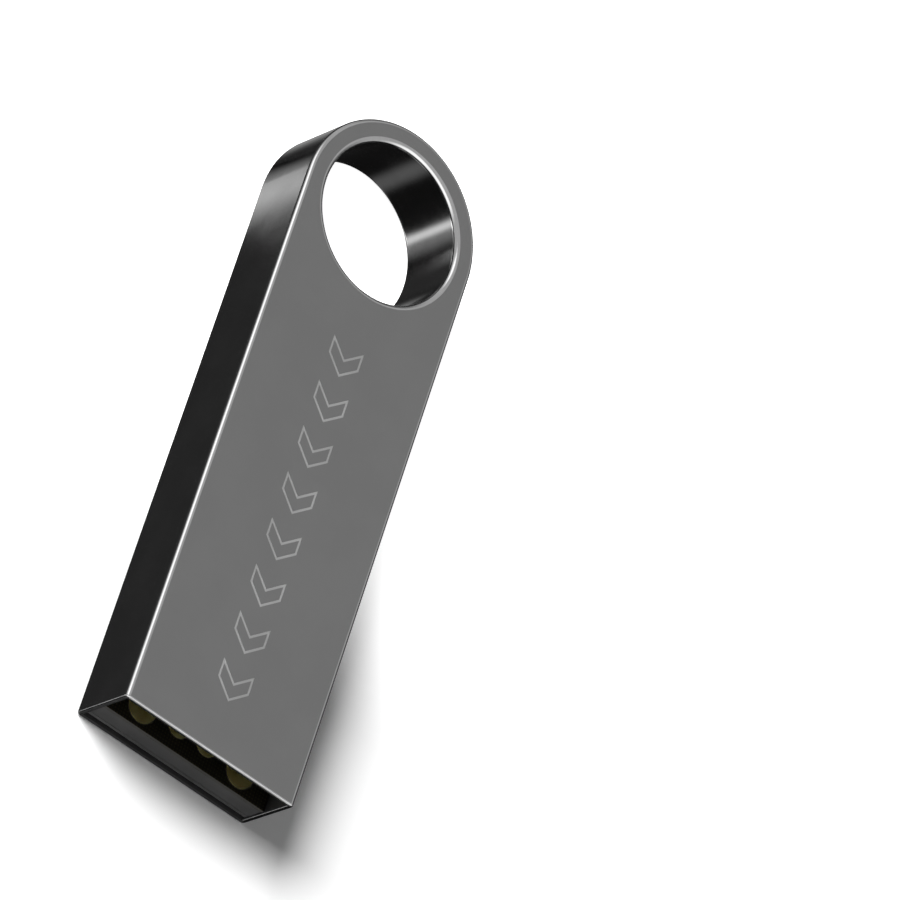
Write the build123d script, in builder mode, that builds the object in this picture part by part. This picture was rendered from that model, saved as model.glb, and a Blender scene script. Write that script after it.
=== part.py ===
from build123d import *
import os

# USB flash drive: a one-piece metal stick with a key-ring eye, and a sealed chip module that slides
# into its plug end. All sizes are in millimetres. +X runs from the plug mouth to the key ring, +Y is
# the width and +Z the thickness, with the marked face on top. The origin is the middle of the underside.

os.makedirs("parts", exist_ok=True)

# ---- Driving dimensions: metal shell -------------------------------------------------------------
shell_length = 40.5  # from the mouth to the far side of the ring end
shell_width = 12.0  # plug width, and the outer diameter of the ring end
shell_thickness = 4.5  # plug thickness
shell_wall = 0.30
shell_edge_radius = 0.25
mouth_rim_radius = 0.12
ring_wall = 1.35  # width of the metal round the key-ring hole
ring_hole_rounding = 0.30
end_web = 1.65  # metal between the end of the cavity and the ring hole

# ---- Driving dimensions: carrier tray and film ---------------------------------------------------
tray_floor = 0.50
tray_clearance = 0.05  # tray to cavity, at the sides, the ceiling and the end
tray_recess = 0.12  # front of the tray behind the mouth
tray_front_chamfer = 0.25  # lead-in under the front of the tray
stop_block_length = 3.2
stop_clearance = 0.05  # stop block to the far end of the module
nose_reach = 0.80  # overhang of the hold-down nose above the module
nose_clearance = 0.05
nose_lead_in = 0.15
stop_pocket_margin = 0.70  # wall around the cored pockets of the stop block
film_thickness = 0.05
film_margin = 0.40

# ---- Driving dimensions: chip module -------------------------------------------------------------
module_recess = 0.10  # contact end of the module behind the mouth
module_side_clearance = 0.05
module_seat_clearance = 0.02
mould_thickness = 1.10
bottom_mask_thickness = 0.02
laminate_thickness = 0.22
copper_thickness = 0.018
top_mask_thickness = 0.03
trace_relief = 0.012  # rise of the lacquer where it covers copper

# ---- Driving dimensions: plug contacts and pads on the top of the board ---------------------------
outer_contact_spacing = 7.0
inner_contact_spacing = 2.0
outer_contact_length = 7.0
outer_contact_width = 1.9
outer_contact_setback = 0.30  # from the contact end of the board
inner_contact_length = 6.1
inner_contact_width = 1.5
inner_contact_setback = 0.80
contact_proud = 0.005
window_gap = 0.06  # bare ring between a pad and the lacquer
test_pad_size = 1.13
test_pad_radius = 0.30
test_pad_spacing = 1.65
test_pad_setback = 1.03  # from the far end of the board

# ---- Driving dimensions: copper routes ------------------------------------------------------------
signal_width = 0.10
power_width = 0.18
via_pad_radius = 0.20
via_barrel_radius = 0.09
route_steps_along = 35  # grid steps between the far end of the board and the contacts
route_steps_across = 22.6  # grid steps over the width of the board
bus_lines = 5
bus_step = 0.8
ladder_lines = 6
ladder_step = 0.6
bundle_lines = 4
bundle_step = 0.5
chevron_lines = 3
chevron_step = 0.7

# ---- Driving dimensions: chips and passives under the board ---------------------------------------
passive_zone = 6.0  # length kept for capacitors and resistors, from the contact end
controller_zone = 5.0
memory_back_margin = 0.85
memory_front_margin = 3.75
die_side_margin = 1.05
die_thickness = 0.10
die_stair = 0.50  # shift of the upper memory die, which bares the pads of the lower one
attach_thickness = 0.02
controller_size = 3.0
controller_thickness = 0.12
finger_length = 0.35
finger_width = 0.12
finger_gap = 0.70  # from a die's edge to the middle of its fingers
wire_width = 0.03
wire_loop = 0.14
wire_stub = 0.06
pad_inset = 0.15  # from a die's edge to the foot of a wire
memory_wires = 14
controller_wires = 6
controller_wire_pitch = 0.42
passive_length = 1.0
passive_width = 0.50
capacitor_height = 0.50
resistor_height = 0.33
end_cap_length = 0.22
land_length = 0.35
land_width = 0.56
passive_columns = 4
passive_row_spacing = 2.2

# ---- Sizes that follow -----------------------------------------------------------------------------
mouth_x = -shell_length / 2
ring_x = shell_length / 2 - shell_width / 2
ring_hole_radius = shell_width / 2 - ring_wall
cavity_depth = shell_length - shell_width / 2 - ring_hole_radius - end_web
cavity_width = shell_width - 2 * shell_wall
cavity_height = shell_thickness - 2 * shell_wall
cavity_end = mouth_x + cavity_depth
ceiling = shell_thickness - shell_wall

tray_front = mouth_x + tray_recess
tray_end = cavity_end - tray_clearance
tray_width = cavity_width - 2 * tray_clearance
stop_front = tray_end - stop_block_length
film_bottom = shell_wall + tray_floor

module_front = mouth_x + module_recess
module_back = stop_front - stop_clearance
module_length = module_back - module_front
module_middle = (module_front + module_back) / 2
module_width = cavity_width - 2 * module_side_clearance
module_bottom = film_bottom + film_thickness + module_seat_clearance
mould_top = module_bottom + mould_thickness
laminate_bottom = mould_top + bottom_mask_thickness
laminate_top = laminate_bottom + laminate_thickness
mask_top = laminate_top + top_mask_thickness
module_top = mask_top + trace_relief

outer_contact_x = module_front + outer_contact_setback + outer_contact_length / 2
inner_contact_x = module_front + inner_contact_setback + inner_contact_length / 2
contacts_end = module_front + outer_contact_setback + outer_contact_length
test_pad_x = module_back - test_pad_setback
grid_along = (module_back - contacts_end) / route_steps_along
grid_across = module_width / route_steps_across

controller_x = module_front + passive_zone + controller_zone / 2
die_width = module_width - 2 * die_side_margin
die_front = module_front + passive_zone + controller_zone + memory_front_margin - die_stair
die_length = module_back - memory_back_margin - die_stair - die_front
controller_attach_bottom = mould_top - attach_thickness
controller_bottom = controller_attach_bottom - controller_thickness
lower_attach_bottom = mould_top - attach_thickness
lower_die_bottom = lower_attach_bottom - die_thickness
upper_attach_bottom = lower_die_bottom - attach_thickness
upper_die_bottom = upper_attach_bottom - die_thickness
memory_finger_x = die_front - finger_gap
memory_wire_pitch = (die_width - 2 * pad_inset) / (2 * memory_wires - 1)
controller_finger_offset = controller_size / 2 + finger_gap
passive_pitch = die_width / passive_columns
passive_x = module_front + passive_zone / 2


def route_point(along, across):
    """Place of a grid point: steps from the far end of the board, and steps from its centre line."""
    return (module_back - along * grid_along, across * grid_across)


def draw_route(points, width):
    """Add a copper route of the given width along grid points to the sketch that is open."""
    with BuildLine() as centre_line:
        Polyline(*[route_point(*point) for point in points])
    trace(lines=centre_line.line, line_width=width)


def draw_routes(routes, width, pads):
    """Add routes and the round via pads at grid points to the sketch that is open."""
    for points in routes:
        draw_route(points, width)
    for point in pads:
        with Locations(route_point(*point)):
            Circle(via_pad_radius)


def draw_pad_outlines(growth):
    """Add the outlines of the contacts and test pads, grown by a gap, to the sketch that is open."""
    with Locations([(outer_contact_x, side * outer_contact_spacing / 2) for side in (1, -1)]):
        SlotOverall(outer_contact_length + 2 * growth, outer_contact_width + 2 * growth)
    with Locations([(inner_contact_x, side * inner_contact_spacing / 2) for side in (1, -1)]):
        SlotOverall(inner_contact_length + 2 * growth, inner_contact_width + 2 * growth)
    with Locations([(test_pad_x, side * test_pad_spacing / 2) for side in (1, -1)]):
        RectangleRounded(test_pad_size + 2 * growth, test_pad_size + 2 * growth, test_pad_radius + growth)


# ---- Copper routes, in grid steps -------------------------------------------------------------------
# Signal routes: a diagonal bus to one edge, a ladder of straight lines at the other, a bundle that
# jogs down the middle, and nested chevrons in a far corner.
signal_routes = []
for line in range(bus_lines):
    start_across = -1.5 - line * bus_step / 2
    start_along = 7.8 + line * bus_step / 2
    run = 10.4 + start_across
    signal_routes.append([(start_along, start_across), (start_along + run, -10.4)])
for line in range(3):
    across = -3.9 - line
    signal_routes.append([(1.6 + line, across), (7.4 - 1.6 * line, across), (13.7 - 2.4 * line, -10.4)])
for line in range(chevron_lines):
    across = -7.6 - line * chevron_step
    along = 3.4 - line * chevron_step
    signal_routes.append([(1.2, across), (along, across), (along + 10.4 + across, -10.4)])
for line in range(ladder_lines):
    across = 10.2 - line * ladder_step
    signal_routes.append([(3.6 + line * ladder_step, across), (26.0 - line * ladder_step, across)])
for line in range(bundle_lines):
    upper = 3.9 - line * bundle_step
    lower = 0.6 - line * bundle_step
    bend = 11.6 + line * bundle_step / 2
    signal_routes.append([(8.6, upper), (bend, upper), (bend + upper - lower, lower), (24.4, lower)])

# Power routes: wide straight runs towards the contacts, each from its own via.
power_routes = [
    [(9.8, 4.8), (31.0, 4.8), (32.6, 6.4)],
    [(10.0, 1.1), (10.0, -0.5), (14.3, -4.8), (33.0, -4.8)],
    [(17.5, -5.9), (31.0, -5.9), (32.6, -7.5)],
    [(18.6, -10.5), (32.4, -10.5)],
    [(28.4, 9.0), (31.6, 10.5)],
]
signal_vias = [(3.3, 6.4), (3.6, 2.8), (5.4, 1.4), (1.2, -5.9)]
power_vias = [(9.8, 4.8), (10.0, 1.1), (17.5, -5.9), (28.4, 9.0)]

# ---- Metal shell -------------------------------------------------------------------------------------
with BuildPart() as case_shell:
    with BuildSketch(Plane.XY) as outline:
        with Locations(((mouth_x + ring_x) / 2, 0)):
            Rectangle(ring_x - mouth_x, shell_width)
        with Locations((ring_x, 0)):
            Circle(shell_width / 2)
    extrude(amount=shell_thickness)
    broad_faces = case_shell.faces().filter_by(Axis.Z)
    long_edges = broad_faces.edges().filter_by(lambda edge: edge.center().X > mouth_x + shell_wall)
    fillet(long_edges, shell_edge_radius)
    mouth_face = case_shell.faces().sort_by(Axis.X)[0]
    fillet(mouth_face.outer_wire().edges(), mouth_rim_radius)
    with BuildSketch(Plane.YZ.offset(mouth_x)):
        with Locations((0, shell_thickness / 2)):
            Rectangle(cavity_width, cavity_height)
    extrude(amount=cavity_depth, mode=Mode.SUBTRACT)
    with Locations((ring_x, 0, shell_thickness)):
        Hole(ring_hole_radius)
    hole_wall = case_shell.faces().filter_by(GeomType.CYLINDER).filter_by(
        lambda face: abs(face.radius - ring_hole_radius) < 1e-6
    )
    fillet(hole_wall.edges().filter_by(GeomType.CIRCLE), ring_hole_rounding)

# ---- Carrier tray: floor, stop block with cored pockets, and hold-down nose --------------------------
with BuildPart() as carrier_tray:
    with BuildSketch(Plane.XY.offset(shell_wall)):
        with Locations(((tray_front + tray_end) / 2, 0)):
            Rectangle(tray_end - tray_front, tray_width)
    extrude(amount=tray_floor)
    front_face = carrier_tray.faces().sort_by(Axis.X)[0]
    chamfer(front_face.edges().sort_by(Axis.Z)[0], tray_front_chamfer)
    with BuildSketch(Plane.XY.offset(film_bottom)):
        with Locations(((stop_front + tray_end) / 2, 0)):
            Rectangle(stop_block_length, tray_width)
    extrude(amount=ceiling - tray_clearance - film_bottom)
    with BuildSketch(Plane.XY.offset(module_top + nose_clearance)):
        with Locations((stop_front - nose_reach / 2, 0)):
            Rectangle(nose_reach, tray_width)
    extrude(amount=ceiling - tray_clearance - module_top - nose_clearance)
    nose_edges = carrier_tray.edges().filter_by(Axis.Y).filter_by_position(
        Axis.X, stop_front - nose_reach - 0.01, stop_front - nose_reach + 0.01
    )
    chamfer(nose_edges.sort_by(Axis.Z)[0], nose_lead_in)
    with BuildSketch(Plane.XY.offset(ceiling - tray_clearance)):
        with Locations(((stop_front + tray_end) / 2, 0)):
            with GridLocations(0, tray_width / 2, 1, 2):
                Rectangle(
                    stop_block_length - 2 * stop_pocket_margin,
                    tray_width / 2 - 2 * stop_pocket_margin,
                )
    extrude(amount=-(ceiling - tray_clearance - film_bottom), mode=Mode.SUBTRACT)

with BuildPart() as adhesive_film:
    with BuildSketch(Plane.XY.offset(film_bottom)):
        with Locations(((module_front + module_back) / 2, 0)):
            Rectangle(module_length - 2 * film_margin, module_width - 2 * film_margin)
    extrude(amount=film_thickness)

# ---- Plug contacts, from the edge of the first pin to the last, and the test pads --------------------
contact_names = ["contact_vbus", "contact_d_minus", "contact_d_plus", "contact_ground"]
contact_places = [
    (outer_contact_x, -outer_contact_spacing / 2, outer_contact_length, outer_contact_width),
    (inner_contact_x, -inner_contact_spacing / 2, inner_contact_length, inner_contact_width),
    (inner_contact_x, inner_contact_spacing / 2, inner_contact_length, inner_contact_width),
    (outer_contact_x, outer_contact_spacing / 2, outer_contact_length, outer_contact_width),
]
contacts = []
for x, y, length, width in contact_places:
    with BuildPart() as contact:
        with BuildSketch(Plane.XY.offset(laminate_top)):
            with Locations((x, y)):
                SlotOverall(length, width)
        extrude(amount=top_mask_thickness + contact_proud)
    contacts.append(contact)

test_pads = []
for side in (1, -1):
    with BuildPart() as test_pad:
        with BuildSketch(Plane.XY.offset(laminate_top)):
            with Locations((test_pad_x, side * test_pad_spacing / 2)):
                RectangleRounded(test_pad_size, test_pad_size, test_pad_radius)
        extrude(amount=top_mask_thickness + contact_proud)
    test_pads.append(test_pad)

# ---- Copper under the top lacquer --------------------------------------------------------------------
with BuildPart() as signal_traces:
    with BuildSketch(Plane.XY.offset(laminate_top)):
        draw_routes(signal_routes, signal_width, signal_vias)
    extrude(amount=copper_thickness)

with BuildPart() as power_traces:
    with BuildSketch(Plane.XY.offset(laminate_top)):
        draw_routes(power_routes, power_width, power_vias)
    extrude(amount=copper_thickness)

with BuildPart() as plated_vias:
    with BuildSketch(Plane.XY.offset(laminate_bottom)) as via_barrels:
        with Locations([route_point(*point) for point in signal_vias + power_vias]):
            Circle(via_barrel_radius)
    extrude(amount=laminate_thickness)

# ---- Board and lacquer -------------------------------------------------------------------------------
with BuildPart() as substrate_laminate:
    with BuildSketch(Plane.XY.offset(laminate_bottom)):
        with Locations((module_middle, 0)):
            Rectangle(module_length, module_width)
        add(via_barrels.sketch.moved(Location((0, 0, -laminate_bottom))), mode=Mode.SUBTRACT)
    extrude(amount=laminate_thickness)

with BuildPart() as top_solder_mask:
    with BuildSketch(Plane.XY.offset(laminate_top)):
        with Locations((module_middle, 0)):
            Rectangle(module_length, module_width)
    extrude(amount=top_mask_thickness)
    with BuildSketch(Plane.XY.offset(mask_top)):
        draw_routes(signal_routes, signal_width, signal_vias)
        draw_routes(power_routes, power_width, power_vias)
    extrude(amount=trace_relief)
    with BuildSketch(Plane.XY.offset(laminate_top)):
        draw_pad_outlines(window_gap)
    extrude(amount=top_mask_thickness + trace_relief, mode=Mode.SUBTRACT)
    add(signal_traces.part, mode=Mode.SUBTRACT)
    add(power_traces.part, mode=Mode.SUBTRACT)

# ---- Lands and bond fingers, flush with the bottom lacquer -------------------------------------------
with BuildPart() as memory_bond_fingers:
    with BuildSketch(Plane.XY.offset(mould_top)):
        with Locations((memory_finger_x, 0)):
            with GridLocations(0, memory_wire_pitch, 1, 2 * memory_wires):
                Rectangle(finger_length, finger_width)
    extrude(amount=bottom_mask_thickness)

with BuildPart() as controller_bond_fingers:
    with BuildSketch(Plane.XY.offset(mould_top)):
        with Locations((controller_x, 0)):
            with GridLocations(2 * controller_finger_offset, controller_wire_pitch, 2, controller_wires):
                Rectangle(finger_length, finger_width)
            with GridLocations(controller_wire_pitch, 2 * controller_finger_offset, controller_wires, 2):
                Rectangle(finger_width, finger_length)
    extrude(amount=bottom_mask_thickness)

with BuildPart() as passive_lands:
    with BuildSketch(Plane.XY.offset(mould_top)):
        with Locations((passive_x, 0)):
            with GridLocations(passive_row_spacing, passive_pitch, 2, passive_columns):
                with GridLocations(passive_length - end_cap_length, 0, 2, 1):
                    Rectangle(land_length, land_width)
    extrude(amount=bottom_mask_thickness)

with BuildPart() as bottom_solder_mask:
    with BuildSketch(Plane.XY.offset(mould_top)):
        with Locations((module_middle, 0)):
            Rectangle(module_length, module_width)
    extrude(amount=bottom_mask_thickness)
    add(memory_bond_fingers.part, mode=Mode.SUBTRACT)
    add(controller_bond_fingers.part, mode=Mode.SUBTRACT)
    add(passive_lands.part, mode=Mode.SUBTRACT)

# ---- Chips and the films that hold them, hung under the board ----------------------------------------
die_middle = die_front + die_length / 2
chip_stack = {
    "die_attach_lower": (die_middle, lower_attach_bottom, die_length, die_width, attach_thickness),
    "nand_die_lower": (die_middle, lower_die_bottom, die_length, die_width, die_thickness),
    "die_attach_upper": (
        die_middle + die_stair,
        upper_attach_bottom,
        die_length,
        die_width,
        attach_thickness,
    ),
    "nand_die_upper": (die_middle + die_stair, upper_die_bottom, die_length, die_width, die_thickness),
    "die_attach_controller": (
        controller_x,
        controller_attach_bottom,
        controller_size,
        controller_size,
        attach_thickness,
    ),
    "controller_die": (
        controller_x,
        controller_bottom,
        controller_size,
        controller_size,
        controller_thickness,
    ),
}
chips = {}
for chip_name, (x, bottom, length, width, thickness) in chip_stack.items():
    with BuildPart() as chip:
        with BuildSketch(Plane.XY.offset(bottom)):
            with Locations((x, 0)):
                Rectangle(length, width)
        extrude(amount=thickness)
    chips[chip_name] = chip


def wire_profile(foot, foot_bottom, finger):
    """Add the side view of one bond wire, from a pad's face to a finger's face, to the open sketch."""
    loop_bottom = foot_bottom - wire_loop
    reach = 0.6 * (finger - foot)
    with BuildLine() as wire_line:
        Polyline(
            (foot, foot_bottom),
            (foot, loop_bottom),
            (foot + reach, loop_bottom),
            (finger, mould_top - wire_stub),
            (finger, mould_top),
        )
    trace(lines=wire_line.line, line_width=wire_width)


# ---- Bond wires: the memory dies are wired from their stairs, the controller on all four sides -------
with BuildPart() as memory_bond_wires:
    for wire in range(2 * memory_wires):
        wire_y = (wire - memory_wires + 0.5) * memory_wire_pitch
        upper = wire % 2
        foot = die_front + upper * die_stair + pad_inset
        foot_bottom = upper_die_bottom if upper else lower_die_bottom
        with BuildSketch(Plane.XZ.offset(-wire_y)):
            wire_profile(foot, foot_bottom, memory_finger_x)
        extrude(amount=wire_width / 2, both=True)

wire_foot = controller_size / 2 - pad_inset
with BuildPart() as controller_bond_wires:
    for wire in range(controller_wires):
        wire_offset = (wire - (controller_wires - 1) / 2) * controller_wire_pitch
        for side in (1, -1):
            with BuildSketch(Plane.XZ.offset(-wire_offset)):
                foot = controller_x + side * wire_foot
                wire_profile(foot, controller_bottom, controller_x + side * controller_finger_offset)
            extrude(amount=wire_width / 2, both=True)
            with BuildSketch(Plane.YZ.offset(controller_x + wire_offset)):
                wire_profile(side * wire_foot, controller_bottom, side * controller_finger_offset)
            extrude(amount=wire_width / 2, both=True)

# ---- Capacitors in the row by the controller, resistors in the row by the contact end ----------------
passives = {}
for kind, row, height in (("capacitor", 1, capacitor_height), ("resistor", -1, resistor_height)):
    for column in range(passive_columns):
        x = passive_x + row * passive_row_spacing / 2
        y = (column - (passive_columns - 1) / 2) * passive_pitch
        with BuildPart() as passive_body:
            with BuildSketch(Plane.XY.offset(mould_top)):
                with Locations((x, y)):
                    Rectangle(passive_length - 2 * end_cap_length, passive_width)
            extrude(amount=-height)
        with BuildPart() as end_caps:
            with BuildSketch(Plane.XY.offset(mould_top)):
                with Locations((x, y)):
                    with GridLocations(passive_length - end_cap_length, 0, 2, 1):
                        Rectangle(end_cap_length, passive_width)
            extrude(amount=-height)
        passives[f"{kind}_{column + 1}"] = Compound(passive_body.part.solids() + end_caps.part.solids())

# ---- Moulding compound, cast around everything under the board ---------------------------------------
with BuildPart() as moulding_compound:
    with BuildSketch(Plane.XY.offset(module_bottom)):
        with Locations((module_middle, 0)):
            Rectangle(module_length, module_width)
    extrude(amount=mould_thickness)
    for chip in chips.values():
        add(chip.part, mode=Mode.SUBTRACT)
    for passive in passives.values():
        add(passive, mode=Mode.SUBTRACT)
    add(memory_bond_wires.part, mode=Mode.SUBTRACT)
    add(controller_bond_wires.part, mode=Mode.SUBTRACT)

# ---- Labels and files --------------------------------------------------------------------------------
case_shell.part.label = "case_shell"
carrier_tray.part.label = "carrier_tray"
adhesive_film.part.label = "adhesive_film"
signal_traces.part.label = "signal_traces"
power_traces.part.label = "power_traces"
plated_vias.part.label = "plated_vias"
substrate_laminate.part.label = "substrate_laminate"
top_solder_mask.part.label = "top_solder_mask"
bottom_solder_mask.part.label = "bottom_solder_mask"
memory_bond_fingers.part.label = "memory_bond_fingers"
controller_bond_fingers.part.label = "controller_bond_fingers"
passive_lands.part.label = "passive_lands"
memory_bond_wires.part.label = "memory_bond_wires"
controller_bond_wires.part.label = "controller_bond_wires"
moulding_compound.part.label = "moulding_compound"

export_step(case_shell.part, "parts/case_shell.step")
export_step(carrier_tray.part, "parts/carrier_tray.step")
export_step(adhesive_film.part, "parts/adhesive_film.step")
export_step(signal_traces.part, "parts/signal_traces.step")
export_step(power_traces.part, "parts/power_traces.step")
export_step(plated_vias.part, "parts/plated_vias.step")
export_step(substrate_laminate.part, "parts/substrate_laminate.step")
export_step(top_solder_mask.part, "parts/top_solder_mask.step")
export_step(bottom_solder_mask.part, "parts/bottom_solder_mask.step")
export_step(memory_bond_fingers.part, "parts/memory_bond_fingers.step")
export_step(controller_bond_fingers.part, "parts/controller_bond_fingers.step")
export_step(passive_lands.part, "parts/passive_lands.step")
export_step(memory_bond_wires.part, "parts/memory_bond_wires.step")
export_step(controller_bond_wires.part, "parts/controller_bond_wires.step")
export_step(moulding_compound.part, "parts/moulding_compound.step")

for contact_name, contact in zip(contact_names, contacts):
    contact.part.label = contact_name
    export_step(contact.part, f"parts/{contact_name}.step")
for number, test_pad in enumerate(test_pads, start=1):
    test_pad.part.label = f"test_pad_{number}"
    export_step(test_pad.part, f"parts/test_pad_{number}.step")
for chip_name, chip in chips.items():
    chip.part.label = chip_name
    export_step(chip.part, f"parts/{chip_name}.step")
for passive_name, passive in passives.items():
    passive.label = passive_name
    export_step(passive, f"parts/{passive_name}.step")
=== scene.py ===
import logging
import math
from dataclasses import dataclass, field
from enum import Enum
from typing import Callable, Sequence, Union

import bmesh
import bpy
from mathutils import Matrix, Vector


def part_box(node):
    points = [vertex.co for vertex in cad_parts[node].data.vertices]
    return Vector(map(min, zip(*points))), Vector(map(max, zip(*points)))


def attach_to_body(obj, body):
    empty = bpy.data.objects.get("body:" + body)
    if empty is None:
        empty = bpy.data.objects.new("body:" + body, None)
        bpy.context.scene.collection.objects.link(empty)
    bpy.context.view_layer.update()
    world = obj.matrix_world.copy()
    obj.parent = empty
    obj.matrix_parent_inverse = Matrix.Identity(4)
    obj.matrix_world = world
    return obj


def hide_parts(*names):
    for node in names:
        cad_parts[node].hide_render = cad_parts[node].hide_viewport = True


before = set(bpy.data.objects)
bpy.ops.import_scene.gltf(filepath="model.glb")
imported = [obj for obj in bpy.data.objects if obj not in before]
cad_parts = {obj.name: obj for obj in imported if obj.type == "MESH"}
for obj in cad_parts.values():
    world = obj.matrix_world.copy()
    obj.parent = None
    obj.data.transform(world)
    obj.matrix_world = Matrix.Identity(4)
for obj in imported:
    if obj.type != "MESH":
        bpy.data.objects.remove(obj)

MM = 0.001
MERGE = 1e-7
LOG = logging.getLogger("flash_drive")
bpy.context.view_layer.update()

Colour = tuple[float, float, float]
Place = tuple[float, float, float]
Number = Union[float, "Value"]
FaceTest = Callable[[bmesh.types.BMFace], bool]
EdgeTest = Callable[[bmesh.types.BMEdge], bool]


# ---- Node trees ---------------------------------------------------------------------------------


class Value:
    """A number in a node tree. Arithmetic on it adds Math nodes."""

    def __init__(self, graph: "Graph", socket: bpy.types.NodeSocket) -> None:
        """Wrap a socket.

        Args:
            graph: The node tree that the socket belongs to.
            socket: An output that carries a number.
        """
        self.graph = graph
        self.socket = socket

    def __add__(self, other: Number) -> "Value":
        """Sum of two numbers."""
        return self.graph.maths("ADD", self, other)

    def __radd__(self, other: Number) -> "Value":
        """Sum with a plain number in front."""
        return self.graph.maths("ADD", other, self)

    def __sub__(self, other: Number) -> "Value":
        """Difference of two numbers."""
        return self.graph.maths("SUBTRACT", self, other)

    def __rsub__(self, other: Number) -> "Value":
        """Difference with a plain number in front."""
        return self.graph.maths("SUBTRACT", other, self)

    def __mul__(self, other: Number) -> "Value":
        """Product of two numbers."""
        return self.graph.maths("MULTIPLY", self, other)

    def __rmul__(self, other: Number) -> "Value":
        """Product with a plain number in front."""
        return self.graph.maths("MULTIPLY", other, self)

    def __truediv__(self, other: Number) -> "Value":
        """Quotient of two numbers."""
        return self.graph.maths("DIVIDE", self, other)

    def __gt__(self, other: Number) -> "Value":
        """1 where the number is larger, else 0."""
        return self.graph.maths("GREATER_THAN", self, other)

    def __lt__(self, other: Number) -> "Value":
        """1 where the number is smaller, else 0."""
        return self.graph.maths("LESS_THAN", self, other)

    def __abs__(self) -> "Value":
        """Size of the number without its sign."""
        return self.graph.maths("ABSOLUTE", self)

    def fraction(self) -> "Value":
        """Part of the number after the point."""
        return self.graph.maths("FRACT", self)

    def floor(self) -> "Value":
        """Whole part of the number."""
        return self.graph.maths("FLOOR", self)

    def at_least(self, other: Number) -> "Value":
        """The larger of two numbers."""
        return self.graph.maths("MAXIMUM", self, other)

    def step(self, start: float, end: float) -> "Value":
        """Smooth rise from 0 at start to 1 at end.

        Args:
            start: Number at which the result is 0.
            end: Number at which the result is 1. It may be below start.

        Returns:
            The risen number.
        """
        node = self.graph.node(
            "ShaderNodeMapRange",
            {"interpolation_type": "SMOOTHSTEP"},
            {"Value": self, "From Min": start, "From Max": end},
        )
        return self.graph.value(node.outputs["Result"])


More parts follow.
